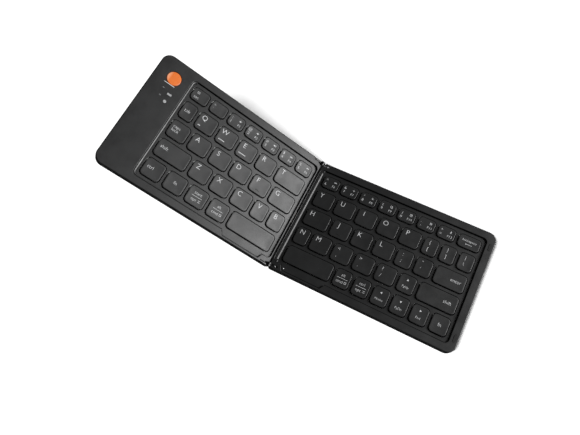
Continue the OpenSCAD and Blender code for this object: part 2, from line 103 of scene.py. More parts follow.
def noise(tree, scale, detail=3.0, rough=0.55, stretch=None, offset=(0, 0, 0)):
    """A noise pattern on the piece's own coordinates; scale is in features per metre."""
    coord = node(tree, "ShaderNodeTexCoord")
    out = coord.outputs["Object"]
    mapping = node(tree, "ShaderNodeMapping")
    mapping.inputs["Location"].default_value = offset
    mapping.inputs["Scale"].default_value = stretch or (1, 1, 1)
    tree.links.new(out, mapping.inputs["Vector"])
    n = node(tree, "ShaderNodeTexNoise")
    n.inputs["Scale"].default_value = scale
    n.inputs["Detail"].default_value = detail
    n.inputs["Roughness"].default_value = rough
    tree.links.new(mapping.outputs["Vector"], n.inputs["Vector"])
    return n.outputs["Fac"]


def ramp(tree, fac, stops):
    r = node(tree, "ShaderNodeValToRGB")
    while len(r.color_ramp.elements) < len(stops):
        r.color_ramp.elements.new(0.5)
    for e, (pos, col) in zip(r.color_ramp.elements, stops):
        e.position = pos
        e.color = (col, col, col, 1) if isinstance(col, (int, float)) else (*col, 1)
    tree.links.new(fac, r.inputs["Fac"])
    return r.outputs["Color"]


def value_range(tree, fac, lo, hi, from_lo=0.3, from_hi=0.7):
    r = node(tree, "ShaderNodeMapRange")
    r.inputs["From Min"].default_value = from_lo
    r.inputs["From Max"].default_value = from_hi
    r.inputs["To Min"].default_value = lo
    r.inputs["To Max"].default_value = hi
    tree.links.new(fac, r.inputs["Value"])
    return r.outputs["Result"]


def mix(tree, fac, a, b, mode="MIX"):
    m = node(tree, "ShaderNodeMix", data_type="RGBA", blend_type=mode)
    sockets = {"f": m.inputs[0], "a": m.inputs[6], "b": m.inputs[7]}
    for key, v in (("f", fac), ("a", a), ("b", b)):
        if isinstance(v, bpy.types.NodeSocket):
            tree.links.new(v, sockets[key])
        elif key == "f":
            sockets[key].default_value = v
        else:
            sockets[key].default_value = (*v, 1)
    return m.outputs[2]


def bump(tree, bsdf, height, distance, strength=1.0, before=None):
    b = node(tree, "ShaderNodeBump")
    b.inputs["Strength"].default_value = strength
    b.inputs["Distance"].default_value = distance
    tree.links.new(height, b.inputs["Height"])
    if before is not None:
        tree.links.new(before, b.inputs["Normal"])
    tree.links.new(b.outputs["Normal"], bsdf.inputs["Normal"])
    return b.outputs["Normal"]


def moulded(name, dark, light, rough, grain=7000.0, depth=0.000012, spec=0.5, coat=0.0):
    """Moulded plastic: fine etched grain, faint flow marks and handling wear in colour and gloss."""
    m, t, s = new_material(name)
    flow = noise(t, 38.0, 4.0, 0.6, stretch=(1.0, 0.45, 1.0))
    fine = noise(t, grain * 0.35, 3.0, 0.6)
    base = mix(t, value_range(t, fine, 0.0, 0.5, 0.35, 0.65), dark, light)
    cloud = ramp(t, flow, [(0.32, 0.86), (0.68, 1.1)])
    t.links.new(mix(t, 1.0, base, cloud, "MULTIPLY"), s.inputs["Base Color"])
    smudge = noise(t, 95.0, 5.0, 0.62, offset=(3.1, 1.7, 0.4))
    r = value_range(t, smudge, rough - 0.05, rough + 0.05, 0.34, 0.66)
    t.links.new(r, s.inputs["Roughness"])
    s.inputs["Specular IOR Level"].default_value = spec
    s.inputs["IOR"].default_value = 1.5
    if coat:
        s.inputs["Coat Weight"].default_value = coat
        s.inputs["Coat Roughness"].default_value = 0.25
    grit = noise(t, grain, 2.0, 0.5)
    bump(t, s, grit, depth, 0.7)
    return m


def metal(name, colour, rough, brush=(1, 30, 1), scale=900.0):
    """Drawn or ground metal: brushed grain with faint stains."""
    m, t, s = new_material(name)
    streak = noise(t, scale, 4.0, 0.6, stretch=brush)
    stain = noise(t, 130.0, 4.0, 0.6, offset=(1.3, 0.2, 2.2))
    lo = tuple(c * 0.72 for c in colour)
    t.links.new(mix(t, value_range(t, stain, 0.0, 1.0), colour, lo), s.inputs["Base Color"])
    s.inputs["Metallic"].default_value = 1.0
    t.links.new(value_range(t, streak, rough - 0.1, rough + 0.12), s.inputs["Roughness"])
    bump(t, s, streak, 0.000006, 0.6)
    return m


M_COVER = moulded("cover_plastic", (0.0125, 0.0127, 0.0130), (0.0185, 0.0187, 0.0190), 0.42)
M_COVER_EDGE = moulded("cover_plastic_edge", (0.019, 0.0193, 0.0197), (0.028, 0.0285, 0.029), 0.36, depth=0.000006)
M_UNDER = moulded("under_plastic", (0.0125, 0.0127, 0.0125), (0.019, 0.0192, 0.0190), 0.5, grain=5200.0, depth=0.000018)
M_CAP = moulded("cap_plastic", (0.0145, 0.0147, 0.0150), (0.0215, 0.0217, 0.0220), 0.42, grain=8200.0, depth=0.000008)


def make_print():
    m, t, s = new_material("legend_print")
    worn = noise(t, 2600.0, 3.0, 0.6)
    t.links.new(mix(t, value_range(t, worn, 0.0, 0.35, 0.45, 0.75), (0.68, 0.688, 0.696), (0.46, 0.466, 0.472)), s.inputs["Base Color"])
    t.links.new(value_range(t, worn, 0.45, 0.62), s.inputs["Roughness"])
    bump(t, s, noise(t, 9000.0, 2.0), 0.000004, 0.5)
    return m


M_PRINT = make_print()


def make_print_dim():
    m, t, s = new_material("mark_print")
    worn = noise(t, 2600.0, 3.0, 0.6)
    t.links.new(mix(t, value_range(t, worn, 0.0, 0.5, 0.4, 0.7), (0.20, 0.205, 0.21), (0.11, 0.112, 0.115)), s.inputs["Base Color"])
    t.links.new(value_range(t, worn, 0.5, 0.65), s.inputs["Roughness"])
    return m


M_MARK = make_print_dim()


def make_button():
    m, t, s = new_material("button_orange")
    cloud = noise(t, 160.0, 3.0, 0.6)
    colour = mix(t, value_range(t, cloud, 0.0, 1.0), (0.72, 0.165, 0.026), (0.77, 0.19, 0.036))
    # painted highlight: paler towards the cap's outer side, where the light catches it; painted shade: darker round its
    # rim
    coord = node(t, "ShaderNodeTexCoord")
    off = node(t, "ShaderNodeVectorMath", operation="SUBTRACT")
    t.links.new(coord.outputs["Object"], off.inputs[0])
    off.inputs[1].default_value = SCALE @ LEFT @ Vector((-130.3, 82.2, 0))
    along = node(t, "ShaderNodeVectorMath", operation="DOT_PRODUCT")
    t.links.new(off.outputs["Vector"], along.inputs[0])
    along.inputs[1].default_value = LEFT.to_3x3() @ Vector((1, 0, 0))
    out = node(t, "ShaderNodeVectorMath", operation="LENGTH")
    t.links.new(off.outputs["Vector"], out.inputs[0])
    # painted highlight: paler on the cap's outer side
    colour = mix(t, value_range(t, along.outputs["Value"], 1.0, 0.0, -0.0050, -0.0022), colour, (0.86, 0.40, 0.22))
    # painted shade: a darker ring round the rim
    colour = mix(t, value_range(t, out.outputs["Value"], 0.0, 0.75, 0.0047, 0.0055), colour, (0.30, 0.055, 0.016))
    t.links.new(colour, s.inputs["Base Color"])
    t.links.new(value_range(t, noise(t, 420.0, 4.0), 0.30, 0.42), s.inputs["Roughness"])
    s.inputs["Subsurface Weight"].default_value = 0.06
    s.inputs["Subsurface Radius"].default_value = (0.0012, 0.0005, 0.0002)
    bump(t, s, noise(t, 6200.0, 2.0), 0.000006, 0.6)
    return m


M_BUTTON = make_button()


def make_window():
    m, t, s = new_material("lamp_window")
    cloud = noise(t, 900.0, 3.0)
    t.links.new(mix(t, value_range(t, cloud, 0.0, 1.0), (0.33, 0.335, 0.34), (0.43, 0.435, 0.44)), s.inputs["Base Color"])
    t.links.new(value_range(t, cloud, 0.25, 0.4), s.inputs["Roughness"])
    s.inputs["Subsurface Weight"].default_value = 0.3
    s.inputs["Subsurface Radius"].default_value = (0.0006, 0.0006, 0.0006)
    bump(t, s, noise(t, 5200.0, 2.0), 0.000004, 0.5)
    return m


M_WINDOW = make_window()
M_RUBBER = moulded("foot_rubber", (0.010, 0.010, 0.010), (0.022, 0.0215, 0.021), 0.78, grain=4200.0, depth=0.00003, spec=0.35)
M_ARM = moulded("hinge_black_paint", (0.0055, 0.0056, 0.0058), (0.0085, 0.0086, 0.0088), 0.30, grain=9000.0, depth=0.000004)
# the metal of the back hinge leaf, paler than the black paint as painted light for its lit top
M_LEAF = metal("hinge_metal", (0.33, 0.33, 0.335), 0.58, brush=(20, 1, 1), scale=700.0)
M_PIN = metal("pin_steel", (0.90, 0.90, 0.91), 0.34, brush=(1, 8, 1), scale=1500.0)
M_PLATE = metal("plate_steel", (0.50, 0.51, 0.52), 0.40, brush=(14, 1, 1), scale=420.0)
M_SOCKET = metal("socket_metal", (0.66, 0.66, 0.68), 0.28, brush=(1, 12, 1), scale=1200.0)


def make_film():
    m, t, s = new_material("membrane_film")
    cloud = noise(t, 70.0, 3.0)
    t.links.new(mix(t, value_range(t, cloud, 0.0, 1.0), (0.60, 0.62, 0.60), (0.74, 0.76, 0.74)), s.inputs["Base Color"])
    t.links.new(value_range(t, noise(t, 800.0, 3.0), 0.35, 0.5), s.inputs["Roughness"])
    s.inputs["Subsurface Weight"].default_value = 0.2
    s.inputs["Subsurface Radius"].default_value = (0.001, 0.001, 0.001)
    bump(t, s, noise(t, 3800.0, 2.0), 0.000006, 0.5)
    return m


def make_board():
    """Solder mask over faint copper tracks."""
    m, t, s = new_material("circuit_board")
    coord = node(t, "ShaderNodeTexCoord")
    brick = node(t, "ShaderNodeTexBrick")
    brick.inputs["Scale"].default_value = 420.0
    brick.inputs["Color1"].default_value = (0.010, 0.085, 0.030, 1)
    brick.inputs["Color2"].default_value = (0.014, 0.110, 0.040, 1)
    brick.inputs["Mortar"].default_value = (0.030, 0.200, 0.075, 1)
    brick.inputs["Mortar Size"].default_value = 0.06
    t.links.new(coord.outputs["Object"], brick.inputs["Vector"])
    cloud = ramp(t, noise(t, 260.0, 3.0), [(0.3, 0.8), (0.7, 1.1)])
    t.links.new(mix(t, 1.0, brick.outputs["Color"], cloud, "MULTIPLY"), s.inputs["Base Color"])
    t.links.new(value_range(t, noise(t, 900.0, 3.0), 0.25, 0.4), s.inputs["Roughness"])
    bump(t, s, brick.outputs["Fac"], 0.00003, 0.5)
    return m


def make_cell():
    m, t, s = new_material("cell_foil")
    crease = noise(t, 240.0, 5.0, 0.65)
    t.links.new(mix(t, value_range(t, crease, 0.0, 1.0), (0.62, 0.63, 0.65), (0.78, 0.79, 0.80)), s.inputs["Base Color"])
    s.inputs["Metallic"].default_value = 0.85
    t.links.new(value_range(t, noise(t, 1500.0, 3.0), 0.28, 0.42), s.inputs["Roughness"])
    bump(t, s, crease, 0.00025, 0.5)
    return m


def make_ribbon():
    """Black film with copper tracks showing through along its length."""
    m, t, s = new_material("ribbon_film")
    coord = node(t, "ShaderNodeTexCoord")
    wave = node(t, "ShaderNodeTexWave", wave_type="BANDS", bands_direction="Y")
    wave.inputs["Scale"].default_value = 330.0
    wave.inputs["Distortion"].default_value = 0.0
    t.links.new(coord.outputs["Object"], wave.inputs["Vector"])
    t.links.new(ramp(t, wave.outputs["Fac"], [(0.45, (0.012, 0.009, 0.007)), (0.6, (0.035, 0.020, 0.010))]), s.inputs["Base Color"])
    t.links.new(value_range(t, noise(t, 700.0, 3.0), 0.3, 0.45), s.inputs["Roughness"])
    bump(t, s, wave.outputs["Fac"], 0.00002, 0.5)
    return m


M_FILM, M_BOARD, M_CELL, M_RIBBON = make_film(), make_board(), make_cell(), make_ribbon()

# ------------------------------------------------------------------ mesh helpers
def finish_mesh(bm, name, mats, sharp=35.0, smooth=True):
    bmesh.ops.recalc_face_normals(bm, faces=bm.faces)
    me = bpy.data.meshes.new(name)
    bm.to_mesh(me)
    bm.free()
    for m in mats:
        me.materials.append(m)
    for p in me.polygons:
        p.use_smooth = smooth
    if smooth:
        me.set_sharp_from_angle(angle=math.radians(sharp))
    ob = bpy.data.objects.new(name, me)
    bpy.context.scene.collection.objects.link(ob)
    return ob


def applied(ob):
    """The object's mesh with its modifiers applied."""
    bpy.context.view_layer.update()
    dg = bpy.context.evaluated_depsgraph_get()
    me = bpy.data.meshes.new_from_object(ob.evaluated_get(dg), preserve_all_data_layers=True, depsgraph=dg)
    old = ob.data
    ob.modifiers.clear()
    ob.data = me
    bpy.data.meshes.remove(old)
    return ob


def place(ob, body, nodes=()):
    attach(ob, body)
    if nodes:
        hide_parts(*nodes)
    return ob


def carve(bm, half, boxes):
    """Cuts boxes, given in mm in a half's own frame, out of a closed mesh."""
    bmesh.ops.remove_doubles(bm, verts=bm.verts, dist=2e-6)
    me = bpy.data.meshes.new("uncut")
    bm.to_mesh(me)
    ob = bpy.data.objects.new("uncut", me)
    bpy.context.scene.collection.objects.link(ob)
    made = [ob]
    M = SCALE @ (LEFT if half == "L" else RIGHT)
    for x0, x1, y0, y1, z0, z1 in boxes:
        cutter = bmesh.new()
        ring = [(x0, y0), (x1, y0), (x1, y1), (x0, y1)]
        low = [cutter.verts.new(M @ Vector((x, y, z0))) for x, y in ring]
        top = [cutter.verts.new(M @ Vector((x, y, z1))) for x, y in ring]
        cutter.faces.new(low[::-1])
        cutter.faces.new(top)
        for i in range(4):
            cutter.faces.new((low[i], low[(i + 1) % 4], top[(i + 1) % 4], top[i]))
        cm = bpy.data.meshes.new("cutter")
        cutter.to_mesh(cm)
        cutter.free()
        co = bpy.data.objects.new("cutter", cm)
        bpy.context.scene.collection.objects.link(co)
        made.append(co)
        mod = ob.modifiers.new("cut", "BOOLEAN")
        mod.operation, mod.solver, mod.object = "DIFFERENCE", "EXACT", co
    bpy.context.view_layer.update()
    cut = bpy.data.meshes.new_from_object(ob.evaluated_get(bpy.context.evaluated_depsgraph_get()))
    bm.clear()
    bm.from_mesh(cut)
    bpy.data.meshes.remove(cut)
    for o in made:
        m = o.data
        bpy.data.objects.remove(o)
        bpy.data.meshes.remove(m)


def from_node(cad, name, mats, weigh, width=1.0, segments=3, sharp=40.0, edge_material=-1, clamp=True, cuts=None):
    """A new piece with a CAD node's shape, its flat faces made whole and its edges rounded.
    weigh(a, b, angle, convex) gives an edge's bevel width in mm, a and b being its ends."""
    bm = bmesh.new()
    bm.from_mesh(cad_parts[cad].data)
    if cuts:
        carve(bm, *cuts)
    bmesh.ops.remove_doubles(bm, verts=bm.verts, dist=2e-6)
    bmesh.ops.dissolve_limit(bm, angle_limit=math.radians(0.5), verts=bm.verts, edges=bm.edges)
    for f in bm.faces:
        f.material_index = 0
    layer = bm.edges.layers.float.get("bevel_weight_edge") or bm.edges.layers.float.new("bevel_weight_edge")
    for e in bm.edges:
        if len(e.link_faces) != 2:
            continue
        angle = math.degrees(e.calc_face_angle(0.0))
        if angle < 22:
            continue
        w = weigh(e.verts[0].co / MM, e.verts[1].co / MM, angle, e.is_convex)
        e[layer] = max(0.0, min(1.0, w / width))
    ob = finish_mesh(bm, name, mats, sharp)
    mod = ob.modifiers.new("round", "BEVEL")
    mod.limit_method = "WEIGHT"
    mod.width = width * MM
    mod.segments = segments
    mod.profile = 0.5
    mod.use_clamp_overlap = clamp
    mod.loop_slide = False
    mod.miter_outer = "MITER_SHARP"
    mod.harden_normals = False
    mod.material = edge_material
    applied(ob)
    ob.data.set_sharp_from_angle(angle=math.radians(sharp))
    wn = ob.modifiers.new("normals", "WEIGHTED_NORMAL")
    wn.keep_sharp = True
    wn.weight = 60
    applied(ob)
    return ob


RIGHT_INV, LEFT_INV = RIGHT.inverted(), LEFT.inverted()


def local(half, p):
    """A point in mm in a half's own frame, x counted away from the axis."""
    q = (LEFT_INV if half == "L" else RIGHT_INV) @ p
    return Vector((abs(q.x), q.y, q.z))


# ------------------------------------------------------------------ covers
def on_outline(p, tol=0.06):
    if p.y < tol or p.y > DEPTH - tol or p.x > HALF_LEN - tol:
        return True
    for cy in (CORNER_R, DEPTH - CORNER_R):
        d = math.hypot(p.x - (HALF_LEN - CORNER_R), p.y - cy)
        if p.x > HALF_LEN - CORNER_R - tol and (p.y < CORNER_R + tol or p.y > DEPTH - CORNER_R - tol) and abs(d - CORNER_R) < tol:
            return True
    return False


def top_cover_weights(half):
    near, far = (1.6, 118.2) if half == "L" else (1.3, 138.7)
    front, back, r = 5.85, 91.0, 3.4

    def inside(p):
        """How far a point lies inside the outline of the key bed."""
        qx = abs(p.x - (near + far) / 2) - ((far - near) / 2 - r)
        qy = abs(p.y - (front + back) / 2) - ((back - front) / 2 - r)
        return r - math.hypot(max(qx, 0.0), max(qy, 0.0)) - min(max(qx, qy), 0.0)

    def at(p, q, depth):
        return abs(inside(p) - depth) < 0.04 and abs(inside(q) - depth) < 0.04

    def in_bay(p):
        return 1.75 < p.y < front + 0.06 and 8.0 < p.x < 44.6

    def weigh(a, b, angle, convex):
        p, q = local(half, a), local(half, b)
        level = abs(p.z - q.z) < 0.02
        if not convex:
            if level and abs(p.z + BED_DEPTH) < 0.02:
                return 0.5 if in_bay(p) and in_bay(q) else 0.0
            corner = not level and p.y < front + 0.1 and 8 < p.x < 45 and abs(p.x - q.x) + abs(p.y - q.y) < 0.05
            return 0.4 if corner else 0.0
        if level and abs(p.z) < 0.02:
            if on_outline(p) and on_outline(q):
                return 0.8
            if p.x < 0.3 and q.x < 0.3:
                return 0.06
            if half == "L" and at(p, q, 0.0) and p.x > far - 3.5 and q.x > far - 3.5:
                return 0.35
            if half == "R" and at(p, q, 0.0) and min(p.x, q.x) < near + 1.3:
                return 0.25
            if at(p, q, 0.0) or (in_bay(p) and in_bay(q)):
                return 0.5
            return 0.12
        if p.x < near + 0.2 and q.x < near + 0.2 and p.z > -0.4 and level and (p - q).length > 20:
            return 0.1
        if level and abs(p.z + BED_DEPTH) < 0.02:
            return 0.14
        if level and abs(p.z + 3.0) < 0.02:
            return 0.1 if on_outline(p) and on_outline(q) else 0.0
        if not level and (p - q).length > 1.0 and abs(p.x - q.x) + abs(p.y - q.y) < 0.05:
            return 0.4 if p.y < 7.5 and 8 < p.x < 45 else 0.06
        if level and (0.3 < inside(p) < 2.2) and (0.3 < inside(q) < 2.2):
            return 0.06
        return 0.0
    return weigh


def bottom_cover_weights(half):
    def weigh(a, b, angle, convex):
        p, q = local(half, a), local(half, b)
        if not convex:
            return 0.0
        level = abs(p.z - q.z) < 0.02
        if level and abs(p.z + 7.2) < 0.02:
            if on_outline(p) and on_outline(q):
                return 0.8
            if p.x < 0.3 and q.x < 0.3:
                return 0.4
            return 0.12
        if level and abs(p.z + 7.9) < 0.02:
            mid = (p + q) / 2
            inside = 86.95 < mid.y < 93.85 and mid.x < 136.4
            return 0.1 if inside else 0.3
        if level and abs(p.z + 3.0) < 0.02:
            return 0.12 if on_outline(p) and on_outline(q) else 0.0
        return 0.05
    return weigh


for half, body in (("R", "right_half"), ("L", "left_half")):
    side = "right" if half == "R" else "left"
    # the fine groove goes on along the front of the thumb bay
    along = (10.6, 41.4) if half == "R" else (-41.4, -10.6)
    ob = from_node(f"{side}_top_cover", f"{side}_top_shell", [M_COVER, M_COVER_EDGE], top_cover_weights(half), segments=4, clamp=False,
                   cuts=(half, [(*along, 1.8, 2.5, -1.85, -1.3)]))
    place(ob, body, [f"{side}_top_cover"])
    ob = from_node(f"{side}_bottom_cover", f"{side}_bottom_shell", [M_UNDER, M_COVER_EDGE], bottom_cover_weights(half), clamp=False)
    place(ob, body, [f"{side}_bottom_cover"])

# ------------------------------------------------------------------ keycaps
def rounded(w, d, r, n=6, sides=(1, 1)):
    """Points round a rounded rectangle centred on the origin, counter-clockwise, with points along its straight sides."""
    r = max(r, 0.02)
    hx, hy = w / 2 - r, d / 2 - r
    nx, ny = sides
    pts = []
    for cx, cy, a0, along, m in ((hx, -hy, -90, (0, 1), ny), (hx, hy, 0, (-1, 0), nx), (-hx, hy, 90, (0, -1), ny), (-hx, -hy, 180, (1, 0), nx)):
        for i in range(n + 1):
            a = math.radians(a0 + 90 * i / n)
            pts.append((cx + r * math.cos(a), cy + r * math.sin(a)))
        x, y = pts[-1]
        length = 2 * hy if along[0] == 0 else 2 * hx
        for i in range(1, m):
            pts.append((x + along[0] * length * i / m, y + along[1] * length * i / m))
    return pts


DISH, DRAFT, FILLET = 0.14, 0.06, 0.3


def cap_height(rect, x, y):
    """Height of a cap's dished top at a point of its half."""
    x0, y0, w, d = rect
    e = CAP_GAP + DRAFT + FILLET
    hx, hy = w / 2 - e, d / 2 - e
    u = min(1.0, min(hx - abs(x - x0 - w / 2), hy - abs(y - y0 - d / 2)) / min(hx, hy))
    u = max(0.0, u)
    return -CAP_SINK - DISH * (1 - (1 - u) ** 2)


def add_cap(bm, rect, half):
    x0, y0, w, d = rect
    cx, cy = x0 + w / 2, y0 + d / 2
    m = min(w, d) / 2
    sides = max(1, round(w / 4.0)), max(1, round(d / 4.0))
    rings = []

    def ring(inset, z, r=None):
        r = KEY_ROUND - inset if r is None else r
        return [(x, y, z) for x, y in rounded(w - 2 * inset, d - 2 * inset, r, sides=sides)]

    bottom = -CAP_SINK - CAP_H
    # stem and hollow underside, from the middle out
    count = len(rounded(w, d, KEY_ROUND, sides=sides))
    stem = []
    for x, y, _ in ring(CAP_GAP, 0):
        a = math.atan2(y, x)
        stem.append((math.cos(a), math.sin(a)))
    for r, z in ((1.2, Z_STEM), (1.5, Z_STEM + 0.3), (1.5, -CAP_SINK - CAP_ROOF - 0.25), (1.75, -CAP_SINK - CAP_ROOF)):
        rings.append([(c * r, s * r, z) for c, s in stem])
    inner = CAP_GAP + CAP_WALL
    rings.append(ring(inner + 0.25, -CAP_SINK - CAP_ROOF, 1.7))
    rings.append(ring(inner, -CAP_SINK - CAP_ROOF - 0.25))
    rings.append(ring(inner, bottom + 0.05))
    rings.append(ring(inner - 0.05, bottom))
    # skirt and rounded edge
    rings.append(ring(CAP_GAP + 0.05, bottom))
    rings.append(ring(CAP_GAP, bottom + 0.05))
    for i in range(6):
        a = math.radians(90 * i / 5)
        rings.append(ring(CAP_GAP + DRAFT + FILLET * (1 - math.cos(a)), -CAP_SINK - FILLET + FILLET * math.sin(a)))
    # dished top
    edge = CAP_GAP + DRAFT + FILLET
    outer = ring(edge, 0)
    for t in (0.12, 0.28, 0.5, 0.75, 1.0):
        level = -CAP_SINK - DISH * (1 - (1 - t) ** 2)
        pts = []
        for x, y, _ in outer:
            mx = max(-(w / 2 - m), min(w / 2 - m, x))
            my = max(-(d / 2 - m), min(d / 2 - m, y))
            pts.append((x + (mx - x) * t, y + (my - y) * t, level))
        rings.append(pts)
    M = SCALE @ (LEFT if half == "L" else RIGHT) @ Matrix.Translation((cx, cy, 0))
    rows = [[bm.verts.new(M @ Vector(p)) for p in r] for r in rings]
    for a, b in zip(rows, rows[1:]):
        for i in range(count):
            j = (i + 1) % count
            bm.faces.new((a[i], a[j], b[j], b[i]))
    bm.faces.new(list(reversed(rows[0])))
    bmesh.ops.remove_doubles(bm, verts=rows[-1], dist=3e-6)


# ------------------------------------------------------------------ legends
PRINT_T = 0.012


def glyph_mesh(text, size):
    cu = bpy.data.curves.new("glyph", "FONT")
    cu.body = text
    cu.size = 1.0
    cu.resolution_u = 3
    cu.offset = -0.014
    cu.align_x = "LEFT"
    ob = bpy.data.objects.new("glyph", cu)
    bpy.context.scene.collection.objects.link(ob)
    bpy.context.view_layer.update()
    me = bpy.data.meshes.new_from_object(ob.evaluated_get(bpy.context.evaluated_depsgraph_get()))
    bpy.data.objects.remove(ob)
    bpy.data.curves.remove(cu)
    verts = [(v.co.x * size, v.co.y * size) for v in me.vertices]
    faces = [tuple(p.vertices) for p in me.polygons]
    bpy.data.meshes.remove(me)
    return verts, faces


GLYPHS = {}


def flat_text(text, height, bold=0.0):
    """Flat outline of a word: points and faces, with its lower left at the origin. height is that of a capital, in mm."""
    if "H" not in GLYPHS:
        v, _ = glyph_mesh("H", 1.0)
        GLYPHS["H"] = max(y for _, y in v) - min(y for _, y in v)
    key = (text, height)
    if key not in GLYPHS:
        GLYPHS[key] = glyph_mesh(text, height / GLYPHS["H"])
    return GLYPHS[key]


def add_flat(bm, half, verts, faces, surface, thick=PRINT_T):
    """A thin closed solid over a flat outline, lying on surface(x, y)."""
    M = SCALE @ (LEFT if half == "L" else RIGHT)
    top = [bm.verts.new(M @ Vector((x, y, surface(x, y) + thick))) for x, y in verts]
    low = [bm.verts.new(M @ Vector((x, y, surface(x, y) - 0.02))) for x, y in verts]
    edges = {}
    for f in faces:
        a = sum(verts[f[i]][0] * verts[f[(i + 1) % len(f)]][1] - verts[f[(i + 1) % len(f)]][0] * verts[f[i]][1] for i in range(len(f)))
        if abs(a) < 1e-9:
            continue
        f = f if a > 0 else tuple(reversed(f))
        try:
            bm.faces.new([top[i] for i in f])
            bm.faces.new([low[i] for i in reversed(f)])
        except ValueError:
            continue
        for i in range(len(f)):
            e = (f[i], f[(i + 1) % len(f)])
            edges[e] = True
    for i, j in edges:
        if (j, i) not in edges:
            bm.faces.new((top[i], low[i], low[j], top[j]))
    for v in top + low:
        if not v.link_faces:
            bm.verts.remove(v)


def put_text(out, text, x, y, height, align="C"):
    """Adds a word's outline to out, centred on y by its capitals' height."""
    v, f = flat_text(text, height)
    if not v:
        return
    lo, hi = min(p[0] for p in v), max(p[0] for p in v)
    dx = x - {"L": lo, "C": (lo + hi) / 2, "R": hi}[align]
    out.append(([(p[0] + dx, p[1] + y - height / 2) for p in v], f))


def poly(out, pts):
    out.append((list(pts), [tuple(range(len(pts)))]))


def bar(out, x, y, w, h):
    poly(out, [(x - w / 2, y - h / 2), (x + w / 2, y - h / 2), (x + w / 2, y + h / 2), (x - w / 2, y + h / 2)])


def frame_shape(out, x, y, w, h, t):
    for bx, by, bw, bh in ((x, y - h / 2 + t / 2, w, t), (x, y + h / 2 - t / 2, w, t), (x - w / 2 + t / 2, y, t, h - 2 * t), (x + w / 2 - t / 2, y, t, h - 2 * t)):
        bar(out, bx, by, bw, bh)


def disc(out, x, y, r, n=12):
    poly(out, [(x + r * math.cos(2 * math.pi * i / n), y + r * math.sin(2 * math.pi * i / n)) for i in range(n)])


def tri(out, x, y, r, angle):
    poly(out, [(x + r * math.cos(math.radians(angle + 120 * i)), y + r * math.sin(math.radians(angle + 120 * i))) for i in range(3)])


def icon(out, kind, x, y):
    """Small plain signs for the second functions."""
    if kind in ("mute", "quiet", "loud"):
        bar(out, x - 0.95, y, 0.45, 0.6)
        poly(out, [(x - 0.7, y - 0.3), (x - 0.05, y - 0.85), (x - 0.05, y + 0.85), (x - 0.7, y + 0.3)])
        if kind == "mute":
            bar(out, x + 0.65, y, 0.75, 0.2)
        if kind == "quiet":
            bar(out, x + 0.4, y, 0.2, 0.8)
        if kind == "loud":
            bar(out, x + 0.4, y, 0.2, 0.8)
            bar(out, x + 0.85, y, 0.2, 1.4)
    elif kind in ("back", "next"):
        s = -1 if kind == "back" else 1
        tri(out, x - 0.45, y, 0.6, 0 if s > 0 else 180)
        tri(out, x + 0.45, y, 0.6, 0 if s > 0 else 180)
        bar(out, x + 1.05 * s, y, 0.18, 1.1)
    elif kind == "play":
        tri(out, x - 0.5, y, 0.65, 0)
        bar(out, x + 0.4, y, 0.22, 1.1)
        bar(out, x + 0.85, y, 0.22, 1.1)
    elif kind in ("dim", "bright"):
        disc(out, x, y, 0.42)
        n = 8 if kind == "bright" else 4
        for i in range(n):
            a = 2 * math.pi * i / n
            r = 0.95 if kind == "bright" else 0.8
            disc(out, x + r * math.cos(a), y + r * math.sin(a), 0.13, 6)
    elif kind == "copy":
        frame_shape(out, x - 0.25, y + 0.2, 1.5, 1.5, 0.2)
        bar(out, x + 0.75, y - 0.35, 0.2, 1.5)
        bar(out, x + 0.2, y - 1.0, 1.3, 0.2)
    elif kind == "page":
        frame_shape(out, x, y, 1.7, 1.9, 0.2)
        bar(out, x, y + 0.3, 0.9, 0.2)
        bar(out, x, y - 0.3, 0.9, 0.2)
    elif kind == "grid":
        for i in (-0.6, 0.0, 0.6):
            for j in (-0.6, 0.0, 0.6):
                bar(out, x + i, y + j, 0.4, 0.4)
    elif kind == "up":
        tri(out, x, y + 0.3, 0.75, 90)
        bar(out, x, y - 0.75, 1.4, 0.25)
    elif kind == "lock":
        bar(out, x, y - 0.35, 1.5, 1.1)
        bar(out, x - 0.5, y + 0.5, 0.2, 0.7)
        bar(out, x + 0.5, y + 0.5, 0.2, 0.7)
        bar(out, x, y + 0.85, 1.2, 0.2)


# name: (node, body, half, [(row, index, legend)])
LEGEND_H = 3.6
ICONS_L = ["mute", "quiet", "loud", "back", "play"]
ICONS_R = ["next", "dim", "bright", "copy", "page", "grid", "up"]


